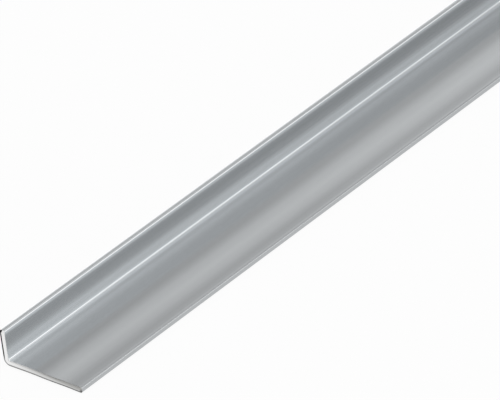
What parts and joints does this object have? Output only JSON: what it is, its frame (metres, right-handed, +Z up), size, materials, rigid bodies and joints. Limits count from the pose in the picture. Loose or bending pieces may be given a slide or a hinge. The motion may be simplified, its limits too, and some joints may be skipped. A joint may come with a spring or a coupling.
{
  "type": "metal angle section",
  "caption": "Straight bar of thin bright metal angle with a wide leg, a narrow leg and plain sawn ends, without holes.",
  "frame": {"origin": "on the underside of the wide leg, in the middle of its width and of the bar's length", "axes": "+X along the bar's length, +Z up through the thickness of the wide leg, +Y from the wide leg's free edge towards the narrow leg"},
  "size_m": [1, 0.025, 0.01],
  "materials": {
    "plated_steel": "satin, with fine lengthwise rolling marks"
  },
  "bodies": {
    "root": {"angle_section": "plated_steel"}
  },
  "joints": []
}
